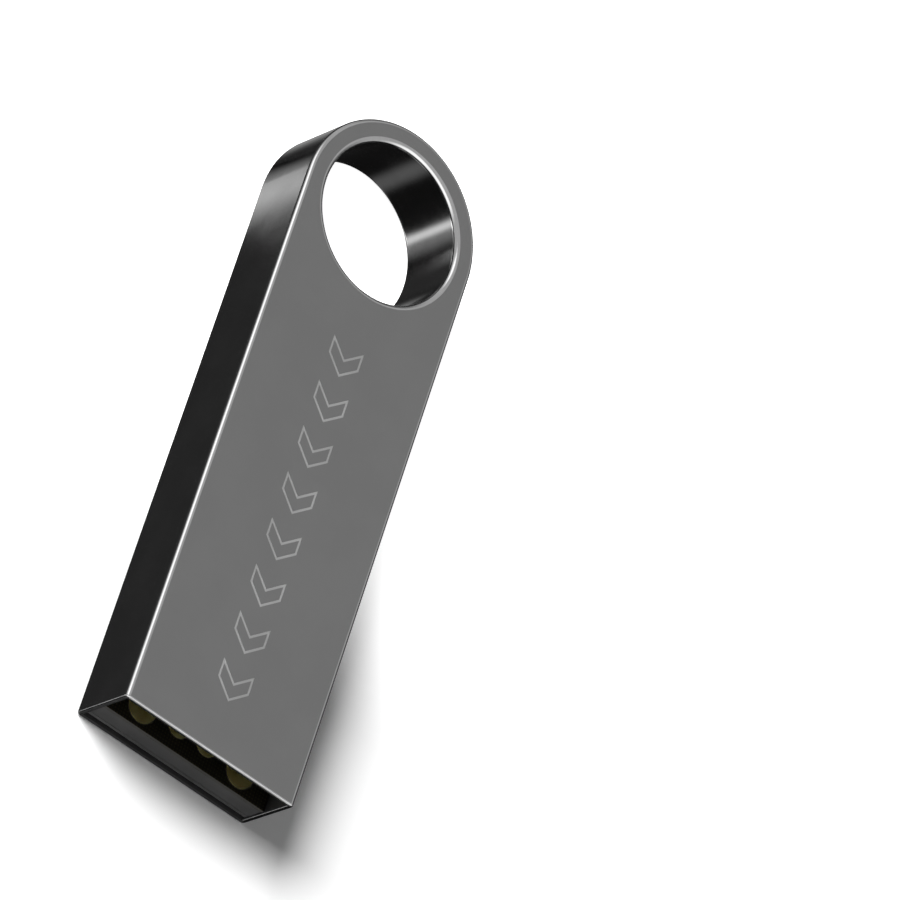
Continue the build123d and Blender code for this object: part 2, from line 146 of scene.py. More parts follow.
class Graph:
    """A material's or a world's node tree, and the one way that nodes are added to it."""

    def __init__(self, tree: bpy.types.NodeTree) -> None:
        """Empty a node tree and take it over.

        Args:
            tree: The tree to build in.
        """
        self.tree = tree
        tree.nodes.clear()

    def node(self, kind: str, settings: dict | None = None, inputs: dict | None = None) -> bpy.types.Node:
        """Add a node.

        Args:
            kind: Blender's name of the node's type.
            settings: Attributes that are set first. The key "stops" holds a ramp's (place, colour) pairs.
            inputs: Socket name or number to a number, a tuple, a Value or an output socket.

        Returns:
            The new node.
        """
        node = self.tree.nodes.new(kind)
        for name, setting in (settings or {}).items():
            if name == "stops":
                self._set_stops(node, setting)
            else:
                setattr(node, name, setting)
        for name, given in (inputs or {}).items():
            self.feed(node.inputs[name], given)
        return node

    @staticmethod
    def _set_stops(node: bpy.types.Node, stops: Sequence[tuple[float, Colour]]) -> None:
        """Give a ramp its stops.

        Args:
            node: A colour ramp.
            stops: Pairs of place and colour.
        """
        elements = node.color_ramp.elements
        while len(elements) < len(stops):
            elements.new(0.5)
        for element, (place, colour) in zip(elements, stops):
            element.position = place
            element.color = (*colour, 1.0)

    def feed(self, socket: bpy.types.NodeSocket, given: object) -> None:
        """Link an output to a socket, or set the socket's value.

        Args:
            socket: The input.
            given: A number, a tuple, a Value or an output socket.
        """
        if isinstance(given, Value):
            self.tree.links.new(given.socket, socket)
        elif isinstance(given, bpy.types.NodeSocket):
            self.tree.links.new(given, socket)
        elif socket.type == "RGBA" and len(given) == 3:
            socket.default_value = (*given, 1.0)
        else:
            socket.default_value = given

    def value(self, socket: bpy.types.NodeSocket) -> Value:
        """Wrap an output that carries a number."""
        return Value(self, socket)

    def maths(self, operation: str, *numbers: Number) -> Value:
        """Add a Math node.

        Args:
            operation: Blender's name of the operation.
            numbers: Its inputs, in order.

        Returns:
            The result.
        """
        node = self.node("ShaderNodeMath", {"operation": operation}, dict(enumerate(numbers)))
        return self.value(node.outputs["Value"])

    def blend(self, share: Number, first: object, second: object) -> bpy.types.NodeSocket:
        """Mix two colours.

        Args:
            share: 0 for the first colour, 1 for the second.
            first: A colour or a colour output.
            second: A colour or a colour output.

        Returns:
            The mixed colour's output.
        """
        node = self.node("ShaderNodeMix", {"data_type": "RGBA"})
        self.feed(node.inputs[0], share)
        self.feed(node.inputs[6], first)
        self.feed(node.inputs[7], second)
        return node.outputs[2]

    def place(self) -> tuple[Value, Value, Value]:
        """Place on the piece.

        Returns:
            Its three coordinates in millimetres.
        """
        coordinates = self.node("ShaderNodeTexCoord")
        split = self.node("ShaderNodeSeparateXYZ", None, {0: coordinates.outputs["Object"]})
        return tuple(self.value(split.outputs[axis]) * (1 / MM) for axis in "XYZ")

    def noise(self, size: Place, detail: float = 2.0, roughness: float = 0.5) -> Value:
        """Soft random pattern.

        Args:
            size: Size of the pattern's features along each axis, in millimetres.
            detail: How many finer layers it has.
            roughness: How strong the finer layers are.

        Returns:
            A number about 0.5, mostly between 0.25 and 0.75.
        """
        coordinates = self.node("ShaderNodeTexCoord")
        scale = tuple(1 / (side * MM) for side in size)
        scaled = {"Vector": coordinates.outputs["Object"], "Scale": scale}
        mapping = self.node("ShaderNodeMapping", None, scaled)
        inputs = {"Vector": mapping.outputs[0], "Scale": 1.0, "Detail": detail, "Roughness": roughness}
        return self.value(self.node("ShaderNodeTexNoise", None, inputs).outputs[0])

    def cell_random(self, across: Value, along: Value) -> Value:
        """One random number for each pair of whole numbers.

        Args:
            across: The first whole number.
            along: The second whole number.

        Returns:
            A number from 0 to 1.
        """
        pair = self.node("ShaderNodeCombineXYZ", None, {"X": across, "Y": along})
        settings = {"noise_dimensions": "3D"}
        noise = self.node("ShaderNodeTexWhiteNoise", settings, {"Vector": pair.outputs[0]})
        return self.value(noise.outputs["Value"])

    def bump(self, height: Value, depth: float) -> bpy.types.NodeSocket:
        """Surface relief.

        Args:
            height: Height from 0 to 1.
            depth: Depth of the relief in millimetres.

        Returns:
            A normal output.
        """
        relief = {"Height": height, "Distance": depth * MM, "Strength": 1.0}
        return self.node("ShaderNodeBump", None, relief).outputs["Normal"]

    def surface(self, uniform: dict, varying: dict) -> None:
        """Finish the tree with one surface shader.

        Args:
            uniform: Socket name to a plain number or colour.
            varying: Socket name to a Value or an output.
        """
        shader = self.node("ShaderNodeBsdfPrincipled", None, {**uniform, **varying})
        self.node("ShaderNodeOutputMaterial", None, {"Surface": shader.outputs[0]})


def new_material(name: str) -> tuple[bpy.types.Material, Graph]:
    """Start a material.

    Args:
        name: Its name.

    Returns:
        The material and its node tree.
    """
    material = bpy.data.materials.new(name)
    material.use_nodes = True
    return material, Graph(material.node_tree)


# ---- Finishes -----------------------------------------------------------------------------------


@dataclass(frozen=True)
class Metal:
    """Plated metal with a fine grain, faint handling marks and uneven gloss."""

    name: str
    dark: Colour
    light: Colour
    gloss_low: float
    gloss_high: float
    grain: Place = (0.07, 0.07, 0.07)
    grain_depth: float = 0.0015
    smudge: float = 4.0

    def material(self) -> bpy.types.Material:
        """Build the material.

        Returns:
            The material.
        """
        material, graph = new_material(self.name)
        grain = graph.noise(self.grain, 2.0, 0.6)
        smudge = graph.noise((self.smudge,) * 3, 3.0, 0.6).step(0.3, 0.7)
        tone = (smudge * 0.7 + grain * 0.3).step(0.1, 0.9)
        roughness = self.gloss_low + (self.gloss_high - self.gloss_low) * (smudge * 0.6 + grain * 0.4)
        graph.surface(
            {"Metallic": 1.0},
            {
                "Base Color": graph.blend(tone, self.dark, self.light),
                "Roughness": roughness,
                "Normal": graph.bump(grain, self.grain_depth),
            },
        )
        return material


@dataclass(frozen=True)
class Moulded:
    """Plastic, resin or glue with a fine mould texture and a slight mottle."""

    name: str
    dark: Colour
    light: Colour
    roughness: float
    grain: float = 0.06
    grain_depth: float = 0.002
    mottle: float = 1.5

    def material(self) -> bpy.types.Material:
        """Build the material.

        Returns:
            The material.
        """
        material, graph = new_material(self.name)
        grain = graph.noise((self.grain,) * 3, 3.0, 0.6)
        mottle = graph.noise((self.mottle,) * 3, 3.0, 0.55).step(0.3, 0.7)
        graph.surface(
            {},
            {
                "Base Color": graph.blend(mottle * 0.6 + grain * 0.4, self.dark, self.light),
                "Roughness": self.roughness + 0.12 * (grain - 0.5) + 0.06 * (mottle - 0.5),
                "Normal": graph.bump(grain, self.grain_depth),
            },
        )
        return material


@dataclass(frozen=True)
class Lacquer:
    """Dark board lacquer: a maze of copper shades, blue lit routes and a dotted ground by the contacts.

    Lengths are in millimetres. Each cell of the maze draws a number from 0 to 1. turns_at holds the
    numbers from which its lines run across the board, at a slant and at the other slant.
    """

    name: str
    far_end: float
    route_height: float
    dots_end: float
    ground: Colour = (0.010, 0.009, 0.006)
    shade: Colour = (0.040, 0.033, 0.016)
    route: Colour = (0.075, 0.062, 0.034)
    lit_route: Colour = (0.006, 0.060, 0.210)
    cell: float = 1.35
    pitch: float = 0.17
    turns_at: Place = (0.20, 0.55, 0.78)
    patch: float = 2.2
    cloud: float = 5.0
    dot_pitch: float = 0.20
    dots_margin: float = 0.4
    lit_side: float = 3.4
    lit_length: float = 15.5
    relief: float = 0.006

    def maze(self, graph: Graph, x: Value, y: Value) -> Value:
        """Straight and slanted fine lines, in a direction of their own in each cell.

        Args:
            graph: The node tree.
            x: Place along the board in millimetres.
            y: Place across the board in millimetres.

        Returns:
            1 on a line and 0 between lines.
        """
        draw = graph.cell_random((x / self.cell).floor(), (y / self.cell).floor())
        slanted = (x + y) * math.sqrt(0.5)
        crossed = (x - y) * math.sqrt(0.5)
        across_at, slanted_at, crossed_at = self.turns_at
        way = x + (draw > across_at) * (y - x) + (draw > slanted_at) * (slanted - y)
        way = way + (draw > crossed_at) * (crossed - slanted)
        return abs((way / self.pitch).fraction() - 0.5).step(0.30, 0.20)

    def dots(self, x: Value, y: Value) -> Value:
        """Round dots on a square grid.

        Args:
            x: Place along the board in millimetres.
            y: Place across the board in millimetres.

        Returns:
            1 on a dot and 0 between dots.
        """
        across = (x / self.dot_pitch).fraction() - 0.5
        along = (y / self.dot_pitch).fraction() - 0.5
        return (across * across + along * along).step(0.10, 0.05)

    def material(self) -> bpy.types.Material:
        """Build the material.

        Returns:
            The material.
        """
        material, graph = new_material(self.name)
        x, y, z = graph.place()
        along = self.far_end - x
        raised = z > self.route_height
        fill = graph.noise((self.patch,) * 3, 2.0, 0.5).step(0.42, 0.56)
        dotted = x < self.dots_end + self.dots_margin
        pattern = self.maze(graph, x, y) * fill * (1 - dotted) + self.dots(x, y) * dotted
        sheen = graph.noise((self.cloud,) * 3, 2.0, 0.5).step(0.3, 0.7)
        ground = graph.blend(pattern * (0.45 + 0.55 * sheen), self.ground, self.shade)
        # Painted highlight: raised routes on one side, towards the far end, turn blue as if lit.
        lit = (self.lit_side - y).step(0.0, 1.6) * (self.lit_length - along).step(0.0, 4.0)
        glow = graph.blend(lit, self.route, self.lit_route)
        height = pattern * 0.6 + raised
        graph.surface(
            {"Roughness": 0.38, "Coat Roughness": 0.15, "Specular IOR Level": 0.3},
            {
                "Base Color": graph.blend(raised, ground, glow),
                "Coat Weight": 0.04 + 0.10 * sheen,
                "Normal": graph.bump(height, self.relief),
            },
        )
        return material


@dataclass(frozen=True)
class StreakGlow:
    """Blue streak along a wide route, palest along its middle. It reads the piece's own map."""

    name: str
    edge: Colour = (0.002, 0.090, 0.600)
    core: Colour = (0.160, 0.760, 1.000)
    emission: float = 0.9

    def material(self) -> bpy.types.Material:
        """Build the material.

        Returns:
            The material.
        """
        material, graph = new_material(self.name)
        lie = graph.node("ShaderNodeUVMap", {"uv_map": "lie"})
        split = graph.node("ShaderNodeSeparateXYZ", None, {0: lie.outputs[0]})
        along, across = graph.value(split.outputs[0]), graph.value(split.outputs[1])
        middle = abs(across - 0.5).step(0.5, 0.05)
        ends = abs(along - 0.5).step(0.5, 0.15)
        # Painted highlight: the strip glows blue, palest along its middle and dimmer towards its ends.
        colour = graph.blend(middle * ends, self.edge, self.core)
        dim = graph.blend(0.15 + 0.85 * ends, (0.0, 0.0, 0.0), colour)
        graph.surface(
            {"Emission Strength": self.emission, "Roughness": 0.3},
            {"Base Color": colour, "Emission Color": dim},
        )
        return material


@dataclass(frozen=True)
class GoldPlate:
    """Hard gold over nickel, pale and slightly uneven, with fine wiping marks along the contacts."""

    name: str
    dark: Colour = (0.90, 0.74, 0.24)
    light: Colour = (1.00, 0.92, 0.42)
    metallic: float = 0.9

    def material(self) -> bpy.types.Material:
        """Build the material.

        Returns:
            The material.
        """
        material, graph = new_material(self.name)
        wipe = graph.noise((2.5, 0.03, 0.5), 2.0, 0.5)
        cloud = graph.noise((1.2, 1.2, 1.2), 2.0, 0.5).step(0.3, 0.7)
        graph.surface(
            {"Metallic": self.metallic},
            {
                "Base Color": graph.blend(0.55 * cloud + 0.45 * wipe, self.dark, self.light),
                "Roughness": 0.26 + 0.10 * wipe + 0.06 * cloud,
                "Normal": graph.bump(wipe, 0.0010),
            },
        )
        return material


@dataclass(frozen=True)
class SawnEdge:
    """Sawn board edge: fine glass weave layers across its thickness."""

    name: str
    dark: Colour = (0.028, 0.027, 0.024)
    light: Colour = (0.085, 0.081, 0.070)
    layer: float = 0.055

    def material(self) -> bpy.types.Material:
        """Build the material.

        Returns:
            The material.
        """
        material, graph = new_material(self.name)
        _, _, z = graph.place()
        layers = abs((z / self.layer).fraction() - 0.5).step(0.45, 0.15)
        saw = graph.noise((0.05, 0.05, 1.0), 2.0, 0.5)
        graph.surface(
            {},
            {
                "Base Color": graph.blend(layers * 0.5 + saw * 0.5, self.dark, self.light),
                "Roughness": 0.45 + 0.2 * saw,
                "Normal": graph.bump(saw, 0.003),
            },
        )
        return material


@dataclass(frozen=True)
class CappedBlock:
    """Fired ceramic block with tinned ends, for blocks whose middles share one place along the board."""

    name: str
    body_dark: Colour
    body_light: Colour
    middle: float
    body_half: float
    tin: Colour = (0.62, 0.62, 0.60)

    def material(self) -> bpy.types.Material:
        """Build the material.

        Returns:
            The material.
        """
        material, graph = new_material(self.name)
        x, _, _ = graph.place()
        cap = abs(x - self.middle).step(self.body_half - 0.01, self.body_half + 0.01)
        grain = graph.noise((0.05, 0.05, 0.05), 3.0, 0.6)
        body = graph.blend(grain, self.body_dark, self.body_light)
        graph.surface(
            {},
            {
                "Base Color": graph.blend(cap, body, self.tin),
                "Metallic": cap,
                "Roughness": 0.55 - 0.2 * cap + 0.1 * grain,
                "Normal": graph.bump(grain, 0.002),
            },
        )
        return material


@dataclass(frozen=True)
class DieFace:
    """Polished silicon with rows of memory cells and their bus lines."""

    name: str
    dark: Colour = (0.09, 0.10, 0.13)
    light: Colour = (0.26, 0.24, 0.30)
    block: float = 0.62
    block_stretch: float = 1.6
    bus: float = 0.055

    def material(self) -> bpy.types.Material:
        """Build the material.

        Returns:
            The material.
        """
        material, graph = new_material(self.name)
        x, y, _ = graph.place()
        column, row = x / self.block, y / (self.block * self.block_stretch)
        across = abs(column.fraction() - 0.5)
        along = abs(row.fraction() - 0.5)
        street = across.at_least(along).step(0.5 - self.bus, 0.5 - self.bus / 2)
        tint = graph.cell_random(column.floor(), row.floor())
        graph.surface(
            {"Metallic": 0.6},
            {
                "Base Color": graph.blend(street * 0.8 + tint * 0.2, self.dark, self.light),
                "Roughness": 0.18 + 0.15 * street,
                "Normal": graph.bump(street, 0.002),
            },
        )
        return material


# ---- Modelling by hand, in code -----------------------------------------------------------------


def deselect_all() -> None:
    """Leave object mode and select nothing."""
    if bpy.context.object is not None and bpy.context.object.mode != "OBJECT":
        bpy.ops.object.mode_set(mode="OBJECT")
    bpy.ops.object.select_all(action="DESELECT")


def take(piece: bpy.types.Object) -> bpy.types.Object:
    """Select one object alone and make it active.

    Args:
        piece: The object.

    Returns:
        The same object.
    """
    deselect_all()
    piece.select_set(True)
    bpy.context.view_layer.objects.active = piece
    return piece


def settle(piece: bpy.types.Object) -> bpy.types.Object:
    """Put an object's place, turn and scale into its mesh.

    Args:
        piece: The object.

    Returns:
        The same object.
    """
    take(piece)
    bpy.ops.object.transform_apply(location=True, rotation=True, scale=True)
    return piece


def add_block(name: str, low: Vector, high: Vector) -> bpy.types.Object:
    """Add a block between two corners.

    Args:
        name: Its name.
        low: Lowest corner in metres.
        high: Highest corner in metres.

    Returns:
        The block, settled at the origin.
    """
    deselect_all()
    bpy.ops.mesh.primitive_cube_add(size=1, location=(low + high) / 2)
    block = bpy.context.object
    block.name = name
    block.scale = high - low
    return settle(block)


def add_drum(name: str, centre: Vector, radius: float, depth: float, sides: int) -> bpy.types.Object:
    """Add an upright cylinder.

    Args:
        name: Its name.
        centre: Its middle in metres.
        radius: Its radius in metres.
        depth: Its height in metres.
        sides: How many sides it has.

    Returns:
        The cylinder, settled at the origin.
    """
    deselect_all()
    bpy.ops.mesh.primitive_cylinder_add(vertices=sides, radius=radius, depth=depth, location=centre)
    drum = bpy.context.object
    drum.name = name
    return settle(drum)


def select_faces(piece: bpy.types.Object, wanted: FaceTest) -> int:
    """In edit mode, select the faces that a test picks.

    Args:
        piece: The object in edit mode.
        wanted: The test of one face.

    Returns:
        How many faces are selected.
    """
    bpy.ops.mesh.select_mode(type="FACE")
    bpy.ops.mesh.select_all(action="DESELECT")
    sheet = bmesh.from_edit_mesh(piece.data)
    for face in sheet.faces:
        face.select_set(bool(wanted(face)))
    bmesh.update_edit_mesh(piece.data)
    return sum(face.select for face in sheet.faces)


def select_edges(piece: bpy.types.Object, wanted: EdgeTest) -> int:
    """In edit mode, select the edges that a test picks.

    Args:
        piece: The object in edit mode.
        wanted: The test of one edge.

    Returns:
        How many edges are selected.
    """
    bpy.ops.mesh.select_mode(type="EDGE")
    bpy.ops.mesh.select_all(action="DESELECT")
    sheet = bmesh.from_edit_mesh(piece.data)
    for edge in sheet.edges:
        edge.select_set(bool(wanted(edge)))
    bmesh.update_edit_mesh(piece.data)
    return sum(edge.select for edge in sheet.edges)


def cut_away(piece: bpy.types.Object, cutter: bpy.types.Object) -> None:
    """Take a cutter's shape out of a piece and remove the cutter.

    Args:
        piece: The piece that is cut.
        cutter: A closed object.
    """
    take(piece)
    modifier = piece.modifiers.new("cut", "BOOLEAN")
    modifier.operation = "DIFFERENCE"
    modifier.solver = "EXACT"
    modifier.object = cutter
    bpy.ops.object.modifier_apply(modifier=modifier.name)
    bpy.data.objects.remove(cutter)


def join(pieces: Sequence[bpy.types.Object], name: str) -> bpy.types.Object:
    """Join objects into one.

    Args:
        pieces: The objects.
        name: The name of the result.

    Returns:
        The joined object.
    """
    deselect_all()
    for piece in pieces:
        piece.select_set(True)
    bpy.context.view_layer.objects.active = pieces[0]
    bpy.ops.object.join()
    pieces[0].name = name
    return pieces[0]


def smooth_shade(piece: bpy.types.Object, angle: float = 32.0) -> None:
    """Merge doubles, point faces outwards and shade smoothly up to an angle, with flat faces left flat.

    Args:
        piece: The object.
        angle: Largest smoothed angle in degrees.
    """
    take(piece)
    bpy.ops.object.mode_set(mode="EDIT")
    bpy.ops.mesh.select_all(action="SELECT")
    bpy.ops.mesh.remove_doubles(threshold=MERGE)
    bpy.ops.mesh.normals_make_consistent(inside=False)
    bpy.ops.object.mode_set(mode="OBJECT")
    bpy.ops.object.shade_smooth_by_angle(angle=math.radians(angle))
    modifier = piece.modifiers.new("even", "WEIGHTED_NORMAL")
    modifier.keep_sharp = True
    bpy.ops.object.modifier_apply(modifier=modifier.name)


def is_near(one: float, other: float, slack: float = 1e-6) -> bool:
    """Whether two lengths in metres are the same within a slack."""
    return abs(one - other) < slack


# ---- Metal shell --------------------------------------------------------------------------------


class ShellFace(Enum):
    """Finishes of the shell's faces, in the order of its material slots."""

    BROAD = 0
    WALL = 1
    EDGE = 2
    CAVITY = 3
    MARK = 4


@dataclass
class MetalShell:
    """One-piece metal shell: prism with a full-round ring end, key-ring hole, cavity and etched mark.

    Lengths are in millimetres, except low and high, the shell's corners, and the properties.
    """

    wall: float = 0.30
    edge_radius: float = 0.25
    hole_rounding: float = 0.30
    ring_wall: float = 1.35
    rim_radius: float = 0.12
    inner_rim: float = 0.05
    end_clearance: float = 0.05
    web: float = 0.40
    hole_slack: float = 0.005
    sides: int = 192
    arc_steps: int = 6
    rim_steps: int = 4
    inner_rim_steps: int = 2
    low: Vector = field(default_factory=lambda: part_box("case_shell")[0])
    high: Vector = field(default_factory=lambda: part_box("case_shell")[1])

    @property
    def radius(self) -> float:
        """Radius of the ring end in metres."""
        return (self.high.y - self.low.y) / 2

    @property
    def ring_x(self) -> float:
        """Place of the ring's centre in metres."""
        return self.high.x - self.radius

    @property
    def hole_radius(self) -> float:
        """Radius of the key-ring hole in metres."""
        return self.radius - self.ring_wall * MM

    def build(self) -> bpy.types.Object:
        """Model the shell and dress it.

        Returns:
            The finished shell.
        """
        shell = self._prism()
        self._bevel(shell, self.edge_radius, self.arc_steps, self._is_long_edge)
        self._bevel(shell, self.rim_radius, self.rim_steps, self._is_mouth_edge)
        self._cut_hole(shell)
        self._cut_cavity(shell)
        cut_away(shell, DirectionMark().cutter(self.high.z))
        smooth_shade(shell)
        self._dress(shell)
        return shell

    def _prism(self) -> bpy.types.Object:
        """Model a half drum whose flat side is drawn out to the mouth.

        Returns:
            The shell as a plain prism.
        """
        centre = Vector((self.ring_x, 0, self.high.z / 2))
        shell = add_drum("metal_shell", centre, self.radius, self.high.z, self.sides)
        take(shell)
        bpy.ops.object.mode_set(mode="EDIT")
        bpy.ops.mesh.select_all(action="SELECT")
        bpy.ops.mesh.bisect(
            plane_co=(self.ring_x, 0, 0),
            plane_no=(1, 0, 0),
            clear_inner=True,
            use_fill=True,
            threshold=MERGE,
        )
        select_faces(shell, lambda face: face.normal.x < -0.99)
        run = (self.low.x - self.ring_x, 0, 0)
        bpy.ops.mesh.extrude_region_move(TRANSFORM_OT_translate={"value": run})
        bpy.ops.mesh.select_all(action="SELECT")
        bpy.ops.mesh.remove_doubles(threshold=MERGE)
        bpy.ops.mesh.dissolve_limited(angle_limit=math.radians(0.5))
        bpy.ops.object.mode_set(mode="OBJECT")
        return shell

    def _bevel(self, shell: bpy.types.Object, radius: float, steps: int, wanted: EdgeTest) -> None:
        """Round the edges that a test picks.

        Args:
            shell: The shell.
            radius: Radius in millimetres.
            steps: How many faces make the arc.
            wanted: The test of one edge.
        """
        take(shell)
        bpy.ops.object.mode_set(mode="EDIT")
        count = select_edges(shell, wanted)
        LOG.info("rounding %d edges by %.2f mm", count, radius)
        bpy.ops.mesh.bevel(
            offset=radius * MM,
            segments=steps,
            profile=0.5,
            affect="EDGES",
            clamp_overlap=False,
        )
        bpy.ops.object.mode_set(mode="OBJECT")

    def _is_long_edge(self, edge: bmesh.types.BMEdge) -> bool:
        """Tell the edges of either broad face's outline, away from the mouth.

        Args:
            edge: An edge of the shell.

        Returns:
            Whether it is one of them.
        """
        first, second = (vertex.co for vertex in edge.verts)
        level = is_near(first.z, second.z)
        return level and not (is_near(first.x, self.low.x) and is_near(second.x, self.low.x))

    def _is_mouth_edge(self, edge: bmesh.types.BMEdge) -> bool:
        """Whether an edge is part of the mouth's outline."""
        return all(is_near(vertex.co.x, self.low.x) for vertex in edge.verts)

    def _is_hole_edge(self, edge: bmesh.types.BMEdge) -> bool:
        """Tell the edges of the key-ring hole's outline on either broad face.

        Args:
            edge: An edge of the shell.

        Returns:
            Whether it is one of them.
        """
        first, second = (vertex.co for vertex in edge.verts)
        level = is_near(first.z, second.z) and (is_near(first.z, 0) or is_near(first.z, self.high.z))
        axis = Vector((self.ring_x, 0))
        reaches = [(corner.xy - axis).length for corner in (first, second)]
        return level and all(is_near(reach, self.hole_radius, self.hole_slack * MM) for reach in reaches)

    def _is_inner_rim(self, edge: bmesh.types.BMEdge) -> bool:
        """Tell the edges of the cavity's outline in the mouth.

        Args:
            edge: An edge of the shell.

        Returns:
            Whether it is one of them.
        """
        half_width = self.radius - self.wall * MM
        half_height = self.high.z / 2 - self.wall * MM
        return all(
            is_near(vertex.co.x, self.low.x)
            and abs(vertex.co.y) < half_width + 10 * MERGE
            and abs(vertex.co.z - self.high.z / 2) < half_height + 10 * MERGE
            for vertex in edge.verts
        )

    def _cut_hole(self, shell: bpy.types.Object) -> None:
        """Cut the key-ring hole and round both of its edges.

        Args:
            shell: The prism with its long edges and its mouth rounded.
        """
        centre = Vector((self.ring_x, 0, self.high.z / 2))
        cut_away(shell, add_drum("hole", centre, self.hole_radius, self.high.z * 2, self.sides))
        self._bevel(shell, self.hole_rounding, self.arc_steps, self._is_hole_edge)

    def _cut_cavity(self, shell: bpy.types.Object) -> None:
        """Cut the cavity from the mouth and take the sharpness off its rim.

        Args:
            shell: The shell without its cavity.
        """
        inset = self.wall * MM
        cavity_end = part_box("carrier_tray")[1].x + self.end_clearance * MM
        low = Vector((self.low.x - inset, self.low.y + inset, inset))
        high = Vector((cavity_end, self.high.y - inset, self.high.z - inset))
        cut_away(shell, add_block("cavity", low, high))
        self._bevel(shell, self.inner_rim, self.inner_rim_steps, self._is_inner_rim)

    def _dress(self, shell: bpy.types.Object) -> None:
        """Give each face the finish of its place: a painted highlight on the rounded edges, painted shade
        in the cavity.

        Args:
            shell: The finished mesh.
        """
        drawn_grain, fine_grain = (0.9, 0.9, 0.05), (0.3,) * 3
        finishes = {
            ShellFace.BROAD: Metal("satin_gunmetal", (0.296,) * 3, (0.308,) * 3, 0.40, 0.44),
            ShellFace.WALL: Metal(
                "polished_gunmetal", (0.26,) * 3, (0.30,) * 3, 0.13, 0.20, drawn_grain, 0.0006, 3.0
            ),
            # Rounded edges and rims: the same plating about twice as light, a painted highlight along
            # every edge.
            ShellFace.EDGE: Metal(
                "painted_highlight_edge", (0.56,) * 3, (0.62,) * 3, 0.12, 0.18, fine_grain, 0.0004, 2.0
            ),
            # Inside of the mouth: near-black matte instead of the shell's metal, a painted shade.
            ShellFace.CAVITY: Moulded("painted_shade_cavity", (0.012,) * 3, (0.030,) * 3, 0.55),
            ShellFace.MARK: Metal("etched_line", (0.56,) * 3, (0.64,) * 3, 0.50, 0.60),
        }
        for kind in ShellFace:
            shell.data.materials.append(finishes[kind].material())
        for face in shell.data.polygons:
            face.material_index = self._kind(face.center, face.normal).value

    def _kind(self, centre: Vector, normal: Vector) -> ShellFace:
        """Choose a face's finish.

        Args:
            centre: The face's middle in metres.
            normal: Its normal.

        Returns:
            The finish.
        """
        skin = (self.wall - 0.01) * MM
        depth = self.high.z - centre.z
        before_web = centre.x < self.ring_x - self.hole_radius - self.web * MM
        # Faces inside the cavity take the near-black painted shade.
        if before_web and abs(centre.y) < self.radius - skin and skin < centre.z < self.high.z - skin:
            return ShellFace.CAVITY
        if before_web and 0.005 * MM < depth < 0.1 * MM and abs(centre.y) < 3 * MM:
            return ShellFace.MARK
        if abs(normal.z) > 0.995:
            return ShellFace.BROAD
        if abs(normal.z) < 0.02:
            return ShellFace.WALL
        # Faces between the broad faces and the walls are the rounded edges, which carry the painted
        # highlight.
        return ShellFace.EDGE


@dataclass
class DirectionMark:
    """Plain etched mark on the upper face: a row of hollow arrowheads that point to the plug end.

    Lengths are in millimetres.
    """

    centre_x: float = -5.5
    arrows: int = 8
    pitch: float = 3.0
    half_width: float = 1.1
    reach: float = 1.0
    body: float = 1.15
    line: float = 0.13
    depth: float = 0.03

    def cutter(self, surface: float) -> bpy.types.Object:
        """Build one closed cutter of every line.

        Args:
            surface: Height of the upper face in metres.

        Returns:
            The cutter.
        """
        first_middle = self.centre_x - (self.arrows - 1) / 2 * self.pitch
        first = self._arrow(first_middle - (self.reach + self.body) / 2, surface)
        copies = [first]
        for number in range(1, self.arrows):
            take(first)
            bpy.ops.object.duplicate(linked=False)
            bpy.context.object.location.x = number * self.pitch * MM
            copies.append(settle(bpy.context.object))
        return join(copies, "mark_cutter")

    def _arrow(self, tip: float, surface: float) -> bpy.types.Object:
        """Model one arrowhead's outline as a thin closed wall that stands through the upper face.

        Args:
            tip: Place of its tip along the shell, in millimetres.
            surface: Height of the upper face in metres.

        Returns:
            The closed wall.
        """
        deselect_all()
        quarter = self.half_width / 2 * MM
        middle = ((tip + self.body / 2) * MM, quarter, surface - self.depth * MM)
        bpy.ops.mesh.primitive_plane_add(size=1, location=middle)
        arrow = bpy.context.object
        arrow.name = "mark_arrow"
        arrow.scale = (self.body * MM, self.half_width * MM, 1)
        settle(arrow)
        bpy.ops.object.mode_set(mode="EDIT")
        select_edges(arrow, lambda edge: all(vertex.co.y > quarter for vertex in edge.verts))
        bpy.ops.transform.translate(value=(self.reach * MM, 0, 0))
        select_edges(arrow, lambda edge: all(vertex.co.y < quarter for vertex in edge.verts))
        arm = (self.reach * MM, -self.half_width * MM, 0)
        bpy.ops.mesh.extrude_edges_move(TRANSFORM_OT_translate={"value": arm})
        bpy.ops.mesh.select_all(action="SELECT")
        bpy.ops.mesh.normals_make_consistent(inside=False)
        bpy.ops.mesh.inset(thickness=self.line * MM, use_even_offset=True, use_boundary=True)
        bpy.ops.mesh.delete(type="FACE")
        bpy.ops.mesh.select_all(action="SELECT")
        bpy.ops.mesh.extrude_region_move(TRANSFORM_OT_translate={"value": (0, 0, 2 * self.depth * MM)})
        bpy.ops.mesh.select_all(action="SELECT")
        bpy.ops.mesh.normals_make_consistent(inside=False)
        bpy.ops.object.mode_set(mode="OBJECT")
        return arrow


# ---- Board details ------------------------------------------------------------------------------


